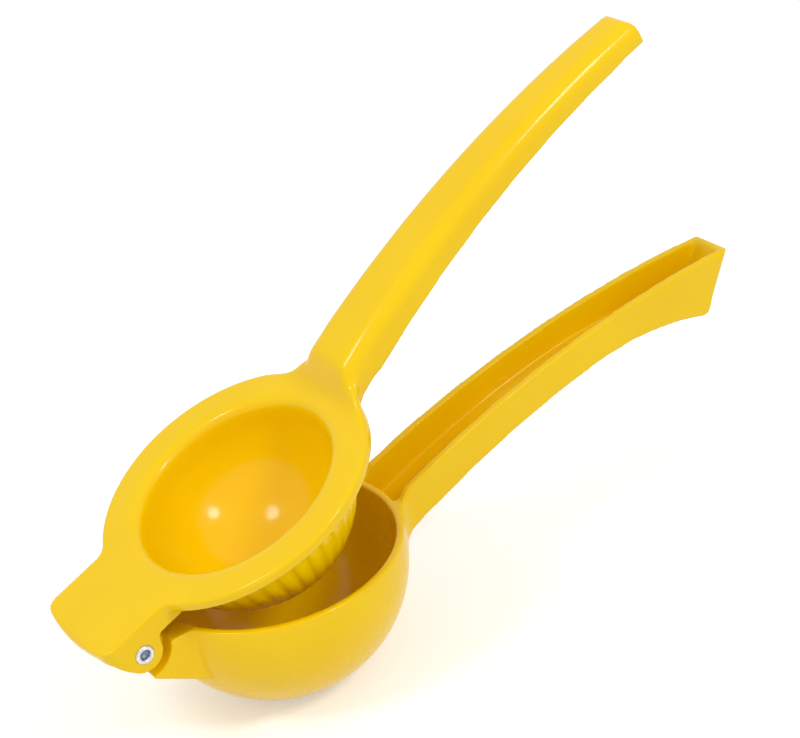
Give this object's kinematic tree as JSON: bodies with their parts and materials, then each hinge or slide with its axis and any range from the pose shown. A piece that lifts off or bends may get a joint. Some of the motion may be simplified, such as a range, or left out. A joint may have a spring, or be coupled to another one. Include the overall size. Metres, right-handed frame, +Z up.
{
  "type": "hinged lemon squeezer",
  "caption": "Two hinged cast levers: a fluted press cup closes into a deep perforated bowl to squeeze half a lemon by hand.",
  "frame": {"origin": "centre of the flat foot under the bowl", "axes": "+X from the hinge to the handle ends, +Y along the hinge pin, +Z up out of the bowl's mouth"},
  "size_m": [0.2209, 0.0788, 0.1413],
  "materials": {
    "yellow_enamel": "gloss enamel baked on an aluminium casting",
    "rivet_steel": "bright plated steel"
  },
  "bodies": {
    "lower_arm": {"bowl_arm": "yellow_enamel"},
    "upper_arm": {"press_arm": "yellow_enamel", "hinge_pin": "rivet_steel"}
  },
  "joints": [
    {"name": "arm_hinge", "type": "hinge", "parent": "lower_arm", "child": "upper_arm", "pos_m": [-0.0472, 0, 0.0395], "axis": [0, -1, 0], "range_deg": [-20.4, 85]}
  ]
}
